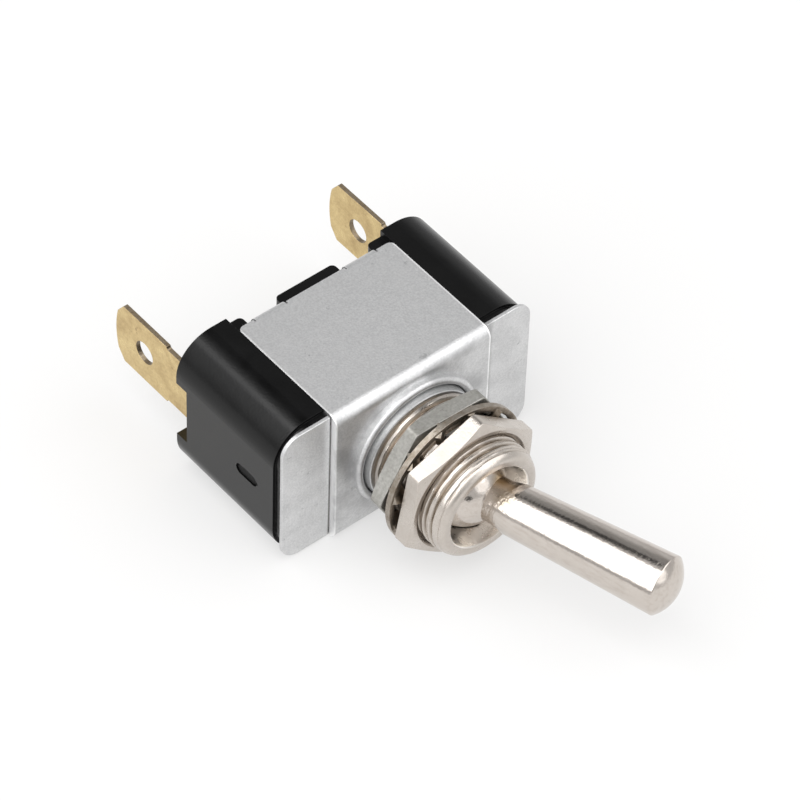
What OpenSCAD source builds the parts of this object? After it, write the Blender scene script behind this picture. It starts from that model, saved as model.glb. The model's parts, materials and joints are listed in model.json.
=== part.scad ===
// Panel toggle switch: a single-pole on-off switch on a threaded bushing,
// with a steel strap and cover plate over a moulded base, and two blade terminals.
//
// Frame: the bushing axis is the Y axis and the lever points towards -Y. The origin
// is on that axis at the face of the strap's boss, where the thread starts. X runs
// from one terminal to the other, and Z is up through the strap's upper flange.

/* [Strap and cover plate] */
// Width of the strap, along the row of terminals
strap_w = 18; // [16:0.5:20]
// How far each flange of the strap stands proud of the base's ends
strap_proud = 0; // [-0.4:0.1:0.4]
// Depth of the flanges, from the strap's front face to their rear edge
strap_depth = 14.3; // [13.4:0.1:16]
// Thickness of the strap's sheet
strap_t = 0.8; // [0.6:0.1:1]
// Outside radius of the strap's folds
fold_r = 1.1; // [1:0.1:1.4]
// How far the boss stands out of the strap
boss_rise = 0.9; // [0.8:0.1:1.2]
// Radius of the boss at its foot
boss_r = 7.1; // [6.9:0.1:7.4]
// How far the cover plate lies inside each end of the base
plate_inset = 0.3; // [0:0.1:1]
// How far the cover plate lies inside the base at its top and bottom
plate_inset_z = 0.2; // [0:0.1:0.5]
// Thickness of the cover plate
plate_t = 0.4; // [0.3:0.1:0.8]
// Corner radius of the cover plate
plate_r = 2; // [1:0.1:3]
// Width of one crimped tab
crimp_w = 3.5; // [3:0.1:3.5]
// Distance of a crimped tab's centre from the middle of the strap
crimp_x = 5.3; // [5.3:0.05:5.5]
// How far a crimped tab reaches down the rear of the base
crimp_reach = 2.6; // [2:0.1:3.2]
// Gap round the bushing's thread inside the boss
boss_gap = 0.3; // [0.2:0.05:0.4]
// Radius of the rear corners of the strap's flanges
flange_corner_r = 0.6; // [0.3:0.1:1]

/* [Base] */
// Length of the moulded base
base_l = 29.6; // [28:0.2:31.6]
// Height of the moulded base at its ends
base_h = 16.4; // [15.8:0.1:17]
// Corner radius of the moulded base
base_r = 4; // [3:0.1:5]
// How far the base's front edge steps in behind the cover plate
front_step = 0.3; // [0.1:0.1:0.5]
// Depth of that step
front_step_d = 0.6; // [0.4:0.1:1]
// Thickness of the base's end walls
end_wall_t = 1.8; // [1.5:0.1:2.2]
// Thickness of the base's side walls under the strap
side_wall_t = 1.4; // [1.2:0.1:1.8]
// Thickness of the base's floor
floor_t = 1.6; // [1.2:0.1:2]
// How far the floor lies inside the strap's rear edge
floor_inset = 0.25; // [0.1:0.05:0.4]
// Height of the rim behind the floor
rim_h = 1.9; // [1.4:0.1:2.4]
// Thickness of the rim
rim_t = 1.2; // [1:0.1:1.6]
// Width of the middle block of the rim
rim_mid_w = 6.9; // [5:0.1:6.9]
// Corner radius of the rim's blocks
rim_corner_r = 0.5; // [0.2:0.1:0.6]
// Width of the notch in the rim beside each terminal
notch_w = 6.8; // [5:0.2:7]
// Depth of that notch
notch_depth = 1.5; // [1:0.1:1.8]
// Length of the raised seat under the fixed contact
seat_l = 8; // [7.5:0.1:8.4]
// Depth of the oval gate mark on the base's end
gate_mark_d = 0.15; // [0.1:0.05:0.3]
// Thickness of the fibre sheet under the cover plate
sheet_t = 0.4; // [0.3:0.05:0.6]

/* [Bushing and nuts] */
// Thread radius of the bushing
thread_r = 6; // [5.8:0.05:6.2]
// Length of the bushing in front of the boss
bush_len = 10.1; // [9.6:0.1:11]
// How far the plain collar of the bushing stands out of the boss
collar_rise = 0.5; // [0.2:0.1:0.8]
// Bore radius of the bushing behind the ball
bush_bore_r = 4.2; // [4.1:0.05:4.4]
// Radius of the bushing's flange
flange_r = 6.6; // [6.4:0.1:6.8]
// Mouth radius of the bushing at its tip
mouth_r = 4.5; // [4.3:0.1:4.8]
// How far the rolled lip of the seat reaches over the ball
ball_lip = 0.08; // [0.06:0.01:0.25]
// Length of the rounded nose at the bushing's tip
nose_len = 1.1; // [0.8:0.1:1.4]
// Width of each nut across its flats
nut_af = 13.8; // [13.6:0.1:14.6]
// Thickness of the back nut
back_nut_t = 1.75; // [1.6:0.05:2]
// Distance of the back nut from the boss
back_nut_gap = 2.35; // [1.8:0.05:2.5]
// Turn of the back nut
back_nut_turn = -1.6; // [-30:0.1:30]
// Thickness of the front nut
front_nut_t = 1.85; // [1.6:0.05:2]
// Turn of the front nut
front_nut_turn = 20.5; // [-30:0.1:30]
// Space between the nuts, which the twisted teeth of the washer fill
washer_space = 1.57; // [1.5:0.01:1.65]
// Outside radius of the lock washer
washer_r = 7.7; // [7.6:0.1:8]
// Thickness of the lock washer
washer_t = 0.6; // [0.5:0.05:0.7]
// Width of each tooth inside the lock washer
tooth_w = 1.6; // [1.6:0.05:1.8]
// Number of teeth inside the lock washer
tooth_count = 12; // [8:1:14]

/* [Lever and plunger] */
// Distance of the lever's pivot behind the bushing's tip
pivot_back = 3.8; // [3.6:0.1:4.2]
// Tilt of the lever to either side of the middle
lever_throw = 17.2; // [14:0.1:18]
// Radius of the lever's ball
ball_r = 4; // [3.9:0.05:4.05]
// Radius of the lever's neck, at the ball
neck_r = 2.2; // [2:0.1:2.4]
// Radius of the lever just past its neck
shaft_r = 2.5; // [2.3:0.1:2.7]
// Radius of the lever where its round tip starts
tip_r = 2.95; // [2.7:0.05:3.2]
// Height of the dome on the lever's tip
dome_h = 1.3; // [0.9:0.1:2.4]
// Length of the lever from its pivot to its tip
lever_len = 22.7; // [18:0.1:26]
// Length of the lever's tail, behind the pivot
tail_len = 6.2; // [5.8:0.1:6.4]
// Radius of the lever's tail
tail_r = 2.3; // [2.1:0.05:2.35]
// Radius of the pin through the ball
pin_r = 0.7; // [0.6:0.05:0.8]
// Radius of the plunger
plunger_r = 1.45; // [1.3:0.05:1.5]
// Bore radius of the hollow plunger
plunger_bore_r = 1; // [0.9:0.05:1.05]
// Wire radius of the plunger's spring
wire_r = 0.18; // [0.12:0.01:0.2]
// Turns of the plunger's spring
spring_turns = 9; // [6:1:12]

/* [Contacts] */
// Tilt of the rocker to either side of the middle
rocker_throw = 8; // [7:0.1:8.5]
// Slope of the rocker's inner wings
wing_slope = 24; // [23:0.5:25]
// Reach of each inner wing from the middle
wing_reach = 5.5; // [5.3:0.1:5.7]
// Reach of the whole rocker from the middle
rocker_reach = 9; // [8.7:0.1:9.3]
// Thickness of the rocker
rocker_t = 0.8; // [0.6:0.1:0.9]
// Width of the rocker
rocker_w = 4.6; // [4:0.1:4.8]
// Radius of the rocker's knuckle
knuckle_r = 1; // [0.95:0.05:1.1]
// Distance from the rocker's pin to the bottom of its valley
valley_rise = 1.2; // [1.15:0.05:1.3]
// Radius of the rocker's pin
rocker_pin_r = 0.6; // [0.5:0.05:0.65]
// Thickness of the cradle's sheet
cradle_t = 0.6; // [0.5:0.05:0.7]
// Distance of the contacts from the middle
contact_x = 7.6; // [7.2:0.1:7.8]
// Radius of the contact buttons
contact_r = 1.3; // [1:0.1:1.4]
// Thickness of the contact buttons
contact_t = 0.8; // [0.6:0.1:0.9]

/* [Terminals] */
// Distance of each blade's middle from the base's end
tab_inset = 2.1; // [2.1:0.05:2.5]
// Width of each blade
tab_w = 7.4; // [6.3:0.1:7.6]
// Thickness of each blade
tab_t = 0.5; // [0.4:0.05:0.8]
// Distance of each blade's tip behind the base's floor
tab_len = 13.45; // [12:0.05:15]
// Distance of the receptacle stops from the tip
stop_back = 8; // [7.5:0.1:8.5]
// Radius of the hole in each blade
tab_hole_r = 1.25; // [0.8:0.05:1.5]
// Distance of the hole from the tip
hole_back = 4.3; // [4:0.1:4.8]
// Width of the chamfers at the tip
tab_chamfer = 1.2; // [0.6:0.1:1.6]
// How far the tip's edge bulges out between its chamfers
tip_crown = 0.3; // [0.1:0.05:0.4]
// How much narrower the blade is behind its stops, on each side
shank_step = 0.3; // [0.2:0.05:0.5]
// Width of the terminals' feet inside the base
foot_w = 6; // [5:0.1:6.4]
// Radius of the rivets' shanks
rivet_r = 0.9; // [0.7:0.05:1]

/* [Clearances] */
// Gap between parts that are fitted together and don't move
fit_gap = 0.05; // [0.02:0.01:0.08]
// Radial gap of pins, balls and plungers in their bores
run_gap = 0.05; // [0.02:0.01:0.08]
// Gap of the closed contact and of the rocker on its stop
touch_gap = 0.05; // [0.03:0.01:0.1]
// Gap between the plunger's tip and the rocker at rest
plunger_gap = 0.16; // [0.14:0.01:0.3]

/* [Hidden] */
$fn = 64;

// Overall sizes that follow the base
strap_h = base_h + 2 * strap_proud;
plate_l = base_l - 2 * plate_inset;
plate_h = base_h - 2 * plate_inset_z;
tab_x = base_l / 2 - tab_inset;

// Stack of the casing, from the boss face backwards
strap_front = boss_rise;
strap_rear = strap_front + strap_depth;
plate_front = strap_front + strap_t;
boss_under = strap_t;
base_front = plate_front + plate_t;
floor_rear = strap_rear - floor_inset;
floor_front = floor_rear - floor_t;
rim_rear = floor_rear + rim_h;
flange_in_h = strap_h - 2 * strap_t;
channel_h = flange_in_h - 2 * fit_gap;
cavity_l = base_l - 2 * end_wall_t;
cavity_h = channel_h - 2 * side_wall_t;
sheet_seat = 0.3;
crimp_inner_r = fit_gap;
crimp_relief = 0.15;

// Bushing and what is on it
bush_tip = -bush_len;
pivot_y = bush_tip + pivot_back;
seat_r = ball_r + run_gap;
pin_half = bush_bore_r + 0.6;
collar_r = thread_r + 0.1;
back_nut_rear = -back_nut_gap;
back_nut_front = back_nut_rear - back_nut_t;
washer_mid = back_nut_front - washer_space / 2;
front_nut_rear = back_nut_front - washer_space;
nut_bore_r = thread_r + run_gap;

// Teeth of the lock washer: the twist that lets a tooth's corners just clear both nuts
tooth_reach = washer_space / 2 - 0.05;
tooth_half_diagonal = norm([tooth_w, washer_t]) / 2;
tooth_twist = asin(tooth_reach / tooth_half_diagonal) - atan2(washer_t, tooth_w);

// Inside of the base, from the floor forwards
foot_t = tab_t;
rivet_head_t = 0.4;
knuckle_gap = 0.35;
rocker_y = floor_front - foot_t - cradle_t - rivet_head_t - knuckle_gap - knuckle_r;
valley_x = -valley_rise * sin(rocker_throw);
valley_y = rocker_y - valley_rise * cos(rocker_throw);
knee_rise = valley_rise + wing_reach * tan(wing_slope);
end_front = rocker_y + wing_reach * sin(rocker_throw) - knee_rise * cos(rocker_throw);
end_rear = end_front + rocker_t * cos(rocker_throw);
contact_face = end_rear + contact_t + touch_gap;
seat_top = contact_face + contact_t + foot_t;
foot_end = 5.2;
stop_l = 2;
stop_w = 2.4;
post_x = 7.4;

// Length of the plunger: its tip just clears the wing that it holds down
closed_slope = wing_slope - rocker_throw;
plunger_reach = (cos(closed_slope) * (valley_y - pivot_y) - sin(closed_slope) * valley_x
    - plunger_r - plunger_gap) / cos(lever_throw - closed_slope);
tail_floor = 1.2;
plunger_start = 3.6;
spring_end = plunger_reach - 3;

steel = "#b9babb";
nickel = "#cfc8bd";
black = "#26262a";
brass = "#c9ae74";

// Helpers ---------------------------------------------------------------

// Turns a shape drawn upwards so that it points to the front, starting at y
module forward(y) {
    translate([0, y, 0]) rotate([90, 0, 0]) children();
}

// Turns a shape drawn upwards so that it points to the rear, starting at y
module rearward(y) {
    translate([0, y, 0]) rotate([-90, 0, 0]) children();
}

// Extrudes an outline drawn in X and Z from y0 to y1
module slab(y0, y1) {
    translate([0, y1, 0]) rotate([90, 0, 0]) linear_extrude(y1 - y0) children();
}

// Extrudes an outline drawn in Y and Z over a width along X
module across(w) {
    rotate([90, 0, 90]) linear_extrude(w, center = true) children();
}

// A block given by its width, its depth from y0 to y1 and its height
module block(w, y0, y1, h, x = 0, z = 0) {
    translate([x - w / 2, y0, z - h / 2]) cube([w, y1 - y0, h]);
}

// Mirrors a shape if asked to
module mirror_if(yes, axis) {
    if (yes) mirror(axis) children();
    else children();
}

// A dome of height h on a round end of radius r, from z = 0, with a peg that roots it in that end
module dome(r, h) {
    ball = (r * r + h * h) / (2 * h);
    intersection() {
        translate([0, 0, h - ball]) sphere(r = ball);
        cylinder(h = h + 1, r = r + 1);
    }
    translate([0, 0, -h / 2]) cylinder(h = h, r = r / 2);
}

// A rectangle with round corners
module round_rect(w, h, r) {
    square([w - 2 * r, h], center = true);
    square([w, h - 2 * r], center = true);
    for (x = [-1, 1], y = [-1, 1])
        translate([x * (w / 2 - r), y * (h / 2 - r)]) circle(r);
}

// The outline of a folded sheet, open to the rear: a web at y0 and two flanges
module channel_outline(y0, len, h, r) {
    translate([y0 + r, -h / 2]) square([len - r, h]);
    translate([y0, -h / 2 + r]) square([r, h - 2 * r]);
    for (s = [-1, 1])
        translate([y0 + r, s * (h / 2 - r)]) circle(r);
}

// Everything on the lever, drawn along +Z from the pivot towards its tip
module on_lever() {
    translate([0, pivot_y, 0]) rotate([0, 0, lever_throw]) rotate([90, 0, 0]) children();
}

// Everything in the lever's tail, drawn along +Z from the pivot backwards
module on_tail() {
    on_lever() rotate([180, 0, 0]) children();
}

// A hexagon nut with chamfered corners, from z = 0 to t
module hex_nut(t, turn, chamfer_front, chamfer_rear) {
    corner_r = nut_af / sqrt(3);
    chamfer_h = 0.45;
    flat_r = nut_af / 2 - 0.1;
    difference() {
        intersection() {
            rotate([0, 0, turn]) cylinder(h = t, r = corner_r, $fn = 6);
            union() {
                translate([0, 0, chamfer_rear ? chamfer_h : 0])
                    cylinder(h = t - (chamfer_front ? chamfer_h : 0) - (chamfer_rear ? chamfer_h : 0),
                        r = corner_r + 0.1);
                if (chamfer_front)
                    translate([0, 0, t - chamfer_h])
                        cylinder(h = chamfer_h, r1 = corner_r + 0.1, r2 = flat_r);
                if (chamfer_rear)
                    cylinder(h = chamfer_h, r1 = flat_r, r2 = corner_r + 0.1);
            }
        }
        translate([0, 0, -1]) cylinder(h = t + 2, r = nut_bore_r);
        for (z = [0, t])
            translate([0, 0, z]) rotate([z > 0 ? 0 : 180, 0, 0]) translate([0, 0, -0.35])
                cylinder(h = 0.4, r1 = nut_bore_r - 0.05, r2 = nut_bore_r + 0.35);
    }
}

// A rivet from its front head at y0 to its rear head behind the floor
module rivet(x, y0, head_r, head_t) {
    rear_head_t = 0.5;
    translate([x, 0, 0]) {
        rearward(y0) cylinder(h = head_t, r = head_r);
        rearward(y0) cylinder(h = floor_rear - y0, r = rivet_r);
        rearward(floor_rear) cylinder(h = rear_head_t, r1 = rivet_r + 0.6, r2 = rivet_r + 0.3);
    }
}

// Casing ----------------------------------------------------------------

// Moulded base: a tray with round ends, a channel for the strap and a notched rim
module base_housing() {
    color(black) difference() {
        union() {
            slab(base_front, base_front + front_step_d + 1)
                round_rect(base_l - 2 * front_step, base_h - 2 * front_step, base_r - front_step);
            slab(base_front + front_step_d, floor_rear) round_rect(base_l, base_h, base_r);
            base_rim();
        }
        for (s = [-1, 1])
            block(strap_w + 2 * fit_gap, base_front - 1, rim_rear + 1, base_h, 0,
                s * (channel_h + base_h) / 2);
        base_cavity();
        gate_mark();
        for (s = [-1, 1])
            block(tab_t + 2 * fit_gap, floor_front - 4, floor_rear + 1,
                tab_w - 2 * shank_step + 2 * fit_gap, s * tab_x);
        rearward(floor_front - 1) cylinder(h = floor_t + 2, r = rivet_r + fit_gap);
        translate([-contact_x, 0, 0])
            rearward(seat_top - 1) cylinder(h = floor_rear - seat_top + 2, r = rivet_r + fit_gap);
    }
}

// An outline in X and Y from x0 to x1 and y0 to y1, with both rear corners rounded
module rear_rounded(x0, x1, y0, y1, r) {
    translate([x0, y0]) square([x1 - x0, y1 - y0 - r]);
    translate([x0 + r, y0]) square([x1 - x0 - 2 * r, y1 - y0]);
    for (x = [x0 + r, x1 - r])
        translate([x, y1 - r]) circle(r);
}

// The rim that stands behind the floor, open at the crimped tabs and the terminals
module base_rim() {
    gap_x1 = crimp_x + crimp_w / 2 + 0.3;
    rim_front = floor_rear - 0.5;
    difference() {
        intersection() {
            slab(rim_front, rim_rear) difference() {
                round_rect(base_l, base_h, base_r);
                round_rect(base_l - 2 * rim_t, channel_h - 2 * rim_t, base_r - rim_t);
            }
            linear_extrude(2 * base_h, center = true) {
                rear_rounded(-rim_mid_w / 2, rim_mid_w / 2, rim_front, rim_rear, rim_corner_r);
                for (s = [0, 1]) mirror([s, 0])
                    rear_rounded(gap_x1, base_l, rim_front, rim_rear, rim_corner_r);
            }
        }
        for (s = [-1, 1])
            block(3 * rim_t, rim_rear - notch_depth, rim_rear + 1, notch_w, s * base_l / 2);
    }
}

// The oval mark that the moulding gate leaves on the base's end
module gate_mark() {
    mark_half = 0.9;
    mark_r = 0.6;
    mark_y = (base_front + floor_rear) / 2 - 2;
    block(2 * gate_mark_d, mark_y - mark_half, mark_y + mark_half, 2 * mark_r, -base_l / 2);
    for (s = [-1, 1])
        translate([-base_l / 2, mark_y + s * mark_half, 0]) rotate([0, 90, 0])
            cylinder(h = 2 * gate_mark_d, r = mark_r, center = true);
}

// The space inside the base, with the fixed contact's seat and the rocker's stop left standing
module base_cavity() {
    difference() {
        union() {
            slab(base_front - 1, floor_front)
                round_rect(cavity_l, cavity_h, base_r - end_wall_t);
            slab(base_front - 1, base_front + sheet_t)
                round_rect(cavity_l + 2 * sheet_seat, cavity_h + 2 * sheet_seat,
                    base_r - end_wall_t + sheet_seat);
        }
        translate([-cavity_l / 2 - 1, seat_top, -cavity_h])
            cube([seat_l + 1, floor_front - seat_top + 1, 2 * cavity_h]);
        block(stop_l, end_rear + touch_gap, floor_front + 1, stop_w, post_x);
    }
}

// Cover plate: a flat sheet with round corners, notched for the strap's flanges
module cover_plate() {
    notch_z = flange_in_h / 2 - (fold_r - strap_t) - fit_gap;
    color(steel) difference() {
        slab(plate_front, base_front) round_rect(plate_l, plate_h, plate_r);
        for (s = [-1, 1])
            block(strap_w + 2 * fit_gap, plate_front - 1, base_front + 1, plate_h, 0,
                s * (notch_z + plate_h / 2));
        rearward(plate_front - 1) cylinder(h = plate_t + 2, r = bush_bore_r + 0.4);
    }
}

// Strap: one folded sheet with a pressed boss, a bushing hole and four crimped tabs
module mounting_strap() {
    color(steel) difference() {
        union() {
            strap_channel();
            strap_boss();
            for (x = [-1, 1], lower = [false, true])
                mirror_if(lower, [0, 0, 1])
                    translate([x * crimp_x, 0, 0]) across(crimp_w) crimp_outline();
        }
        forward(strap_front + strap_t + 1)
            cylinder(h = strap_t + boss_rise + 2, r = thread_r + boss_gap);
        rearward(boss_under) cylinder(h = plate_front - boss_under + 1, r = flange_r + fit_gap);
    }
}

// The folded sheet without its boss, with small relief cuts where the crimped tabs bend
module strap_channel() {
    difference() {
        intersection() {
            across(strap_w) difference() {
                channel_outline(strap_front, strap_depth, strap_h, fold_r);
                channel_outline(strap_front + strap_t, strap_depth + 1, flange_in_h,
                    fold_r - strap_t);
            }
            linear_extrude(2 * strap_h, center = true)
                rear_rounded(-strap_w / 2, strap_w / 2, strap_front, strap_rear, flange_corner_r);
        }
        for (x = [-1, 1])
            block(crimp_w + 2 * crimp_relief, floor_rear - crimp_inner_r, strap_rear + 1,
                strap_h + 2, x * crimp_x);
    }
}

// One crimped tab, from inside its flange round the rear edge of the base
module crimp_outline() {
    outer_r = strap_t + crimp_inner_r;
    bend_y = floor_rear - crimp_inner_r;
    bend_z = flange_in_h / 2 - crimp_inner_r;
    translate([strap_front + strap_depth / 2, flange_in_h / 2])
        square([bend_y - strap_front - strap_depth / 2, strap_t]);
    intersection() {
        translate([bend_y, bend_z]) difference() {
            circle(outer_r);
            circle(crimp_inner_r);
        }
        translate([bend_y, bend_z]) square(2 * outer_r);
    }
    translate([floor_rear, strap_h / 2 - crimp_reach])
        square([strap_t, crimp_reach - strap_t - crimp_inner_r]);
}

// The pressed ring: a steep foot and a round crest that ends at the bushing hole
module strap_boss() {
    crest_r = (boss_r - thread_r - boss_gap) / 2;
    crest_mid = boss_r - crest_r;
    forward(strap_front) rotate_extrude()
        polygon(concat(
            [[thread_r - 1, -strap_t], [boss_r, -strap_t], [boss_r, 0]],
            [for (a = [0:15:180]) [crest_mid + crest_r * cos(a), boss_rise - crest_r + crest_r * sin(a)]],
            [[thread_r - 1, boss_rise - crest_r]]));
}

// Fibre sheet between the cover plate and the base, slotted for the plunger
module insulating_sheet() {
    slot_l = 10.6;
    slot_w = 3.8;
    color("#8c8478") slab(base_front, base_front + sheet_t) difference() {
        round_rect(cavity_l + 2 * sheet_seat - 2 * fit_gap, cavity_h + 2 * sheet_seat - 2 * fit_gap,
            base_r - end_wall_t + sheet_seat - fit_gap);
        round_rect(slot_l, slot_w, slot_w / 2 - 0.1);
    }
}

// Bushing and nuts ------------------------------------------------------

// Bushing: thread, rounded nose, ball seat, bore, flange and two slots for the lever's pin
module bushing() {
    nose_r = thread_r - 0.9;
    slot_half = pin_r + run_gap;
    seat_mouth_r = ball_r - ball_lip;
    seat_mouth_rise = sqrt(seat_r * seat_r - seat_mouth_r * seat_mouth_r);
    mouth_depth = pivot_back - seat_mouth_rise;
    mouth_flare = (mouth_r - seat_mouth_r) / mouth_depth;
    color(nickel) difference() {
        union() {
            forward(plate_front) cylinder(h = plate_front - boss_under, r = flange_r);
            forward(plate_front) cylinder(h = plate_front + collar_rise, r = collar_r);
            forward(plate_front) cylinder(h = plate_front - bush_tip - nose_len, r = thread_r);
            forward(bush_tip + nose_len) rotate_extrude()
                polygon(concat([[0, 0]],
                    [for (a = [0:10:90]) [nose_r + (thread_r - 0.12 - nose_r) * cos(a), nose_len * sin(a)]],
                    [[0, nose_len]]));
        }
        forward(pivot_y) sphere(r = seat_r);
        rearward(pivot_y) cylinder(h = plate_front - pivot_y + 1, r = bush_bore_r);
        forward(pivot_y - seat_mouth_rise)
            cylinder(h = mouth_depth + 1, r1 = seat_mouth_r, r2 = mouth_r + mouth_flare);
        for (s = [-1, 1]) {
            translate([0, pivot_y, s * (pin_half + 0.1) / 2])
                cylinder(h = pin_half + 0.1, r = slot_half, center = true);
            translate([-slot_half, pivot_y, s > 0 ? 0 : -pin_half - 0.1])
                cube([2 * slot_half, plate_front - pivot_y + 1, pin_half + 0.1]);
        }
    }
}

// Plain stamped nut that sets the depth behind the panel
module back_nut() {
    color("#a8a6a1") forward(back_nut_rear) hex_nut(back_nut_t, back_nut_turn, false, true);
}

// Bright nut that clamps the panel
module front_nut() {
    color(nickel) forward(front_nut_rear) hex_nut(front_nut_t, front_nut_turn, true, false);
}

// Lock washer: a flat ring with twisted teeth inside
module lock_washer() {
    ring_in = washer_r - 0.6;
    tooth_in = nut_bore_r + 0.15;
    color(nickel) forward(washer_mid) {
        difference() {
            translate([0, 0, -washer_t / 2]) cylinder(h = washer_t, r = washer_r);
            translate([0, 0, -washer_t]) cylinder(h = 2 * washer_t, r = ring_in);
        }
        for (i = [0:tooth_count - 1])
            rotate([0, 0, (i + 0.5) * 360 / tooth_count])
                translate([tooth_in, 0, 0]) rotate([tooth_twist, 0, 0])
                    translate([0, -tooth_w / 2, -washer_t / 2])
                        cube([ring_in - tooth_in + 0.3, tooth_w, washer_t]);
    }
}

// Lever and plunger -----------------------------------------------------

// Lever: round tip, tapered shaft, neck and ball, with a bored tail
module toggle_lever() {
    neck_end = ball_r + 1.6;
    tip_start = lever_len - dome_h;
    color(nickel) difference() {
        union() {
            on_lever() {
                sphere(r = ball_r);
                translate([0, 0, ball_r / 2]) cylinder(h = ball_r / 2 + 0.3, r = neck_r);
                translate([0, 0, ball_r + 0.3])
                    cylinder(h = neck_end - ball_r - 0.3, r1 = neck_r, r2 = shaft_r);
                translate([0, 0, neck_end])
                    cylinder(h = tip_start - neck_end, r1 = shaft_r, r2 = tip_r);
                translate([0, 0, tip_start]) dome(tip_r, dome_h);
            }
            on_tail() cylinder(h = tail_len, r = tail_r);
        }
        on_tail() translate([0, 0, tail_floor])
            cylinder(h = tail_len, r = plunger_r + run_gap);
        on_lever() rotate([90, 0, 0]) cylinder(h = 3 * ball_r, r = pin_r, center = true);
    }
}

// Pin across the ball, which turns in the bushing's slots
module lever_pin() {
    color("#9b9a97") translate([0, pivot_y, 0])
        cylinder(h = 2 * pin_half, r = pin_r, center = true);
}

// Hollow plunger with a round tip, in the lever's tail
module plunger() {
    color("#e8e4d8") on_tail() difference() {
        union() {
            translate([0, 0, plunger_start])
                cylinder(h = plunger_reach - plunger_start, r = plunger_r);
            translate([0, 0, plunger_reach]) dome(plunger_r, 0.95 * plunger_r);
        }
        translate([0, 0, plunger_start - 1])
            cylinder(h = spring_end - plunger_start + 1, r = plunger_bore_r);
    }
}

// Coil spring inside the plunger, as rings of a wire carried along a helix
module plunger_spring() {
    coil_r = plunger_bore_r - wire_r - run_gap;
    coil_len = spring_end - tail_floor - 2 * wire_r;
    steps = 14 * spring_turns;
    sides = 6;
    slope = atan(coil_len / (spring_turns * 2 * PI * coil_r));
    points = [for (i = [0:steps], j = [0:sides - 1])
        let (a = 360 * i * spring_turns / steps, b = 360 * j / sides,
            out = coil_r + wire_r * cos(b), lift = wire_r * sin(b))
        [out * cos(a) + lift * sin(slope) * sin(a),
         out * sin(a) - lift * sin(slope) * cos(a),
         tail_floor + wire_r + coil_len * i / steps + lift * cos(slope)]];
    sides_faces = [for (i = [0:steps - 1], j = [0:sides - 1])
        let (k = (j + 1) % sides)
        [i * sides + j, i * sides + k, (i + 1) * sides + k, (i + 1) * sides + j]];
    color("#9a9a9a") on_tail()
        polyhedron(points, concat(
            [[for (j = [sides - 1:-1:0]) j]],
            sides_faces,
            [[for (j = [0:sides - 1]) steps * sides + j]]));
}

// Contacts --------------------------------------------------------------

// Rocker: a valley that the plunger slides across, level ends and a knuckle
module rocker() {
    end_drop = (rocker_reach - wing_reach) * tan(rocker_throw);
    half = [[0, -valley_rise], [wing_reach, -knee_rise], [rocker_reach, -knee_rise - end_drop]];
    front = concat([for (i = [2:-1:1]) [-half[i][0], half[i][1]]], half);
    outline = concat(front, [for (i = [len(front) - 1:-1:0]) front[i] + [0, rocker_t]]);
    color("#c79a5b") translate([0, rocker_y, 0]) rotate([0, 0, -rocker_throw]) difference() {
        union() {
            linear_extrude(rocker_w, center = true) polygon(outline);
            cylinder(h = rocker_w, r = knuckle_r, center = true);
        }
        cylinder(h = rocker_w + 2, r = rocker_pin_r + run_gap, center = true);
    }
}

// Silver button on the rocker
module rocker_contact() {
    color("#d8d8dc") translate([-contact_x, 0, 0])
        rearward(end_rear) cylinder(h = contact_t, r = contact_r);
}

// Pin that the rocker turns on, held in the cradle's ears
module rocker_pin() {
    color("#9b9a97") translate([0, rocker_y, 0])
        cylinder(h = cradle_w(), r = rocker_pin_r, center = true);
}

// Width over the cradle's ears
function cradle_w() = rocker_w + 0.8 + 2 * cradle_t;

// Cradle: a folded bracket with an ear on each side of the rocker
module rocker_cradle() {
    base_y = floor_front - foot_t;
    ear_w = 2.6;
    color(brass) difference() {
        union() {
            block(2 * ear_w - 0.8, base_y - cradle_t, base_y, cradle_w());
            for (s = [-1, 1]) {
                block(ear_w, rocker_y, base_y, cradle_t, 0, s * (cradle_w() - cradle_t) / 2);
                translate([0, rocker_y, s * (cradle_w() - cradle_t) / 2])
                    cylinder(h = cradle_t, r = ear_w / 2, center = true);
            }
        }
        translate([0, rocker_y, 0])
            cylinder(h = cradle_w() + 2, r = rocker_pin_r, center = true);
        rearward(base_y - cradle_t - 1) cylinder(h = cradle_t + 2, r = rivet_r);
    }
}

// Rivet through the cradle, the line terminal and the floor
module cradle_rivet() {
    color(brass) rivet(0, floor_front - foot_t - cradle_t - rivet_head_t,
        rivet_r + 0.6, rivet_head_t);
}

// Contact rivet that the load terminal hangs on
module fixed_contact() {
    color("#d8d8dc") rivet(-contact_x, contact_face, contact_r + 0.2, contact_t);
}

// Terminals -------------------------------------------------------------

// The outline of a blade, drawn in Y and Z: shank, receptacle stops, tab and crowned tip
module blade_outline(y0) {
    tip_y = floor_rear + tab_len;
    stop_y = tip_y - stop_back;
    stop_r = 0.3;
    half = tab_w / 2;
    tip_half = half - tab_chamfer;
    difference() {
        polygon(concat(
            [[y0, shank_step - half], [stop_y, shank_step - half], [stop_y, -half],
             [tip_y - tab_chamfer, -half]],
            [for (i = [-4:4]) [tip_y - tip_crown * pow(i / 4, 2), tip_half * i / 4]],
            [[tip_y - tab_chamfer, half], [stop_y, half], [stop_y, half - shank_step],
             [y0, half - shank_step]]));
        for (s = [-1, 1])
            translate([stop_y, s * half]) circle(stop_r);
    }
}

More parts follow.
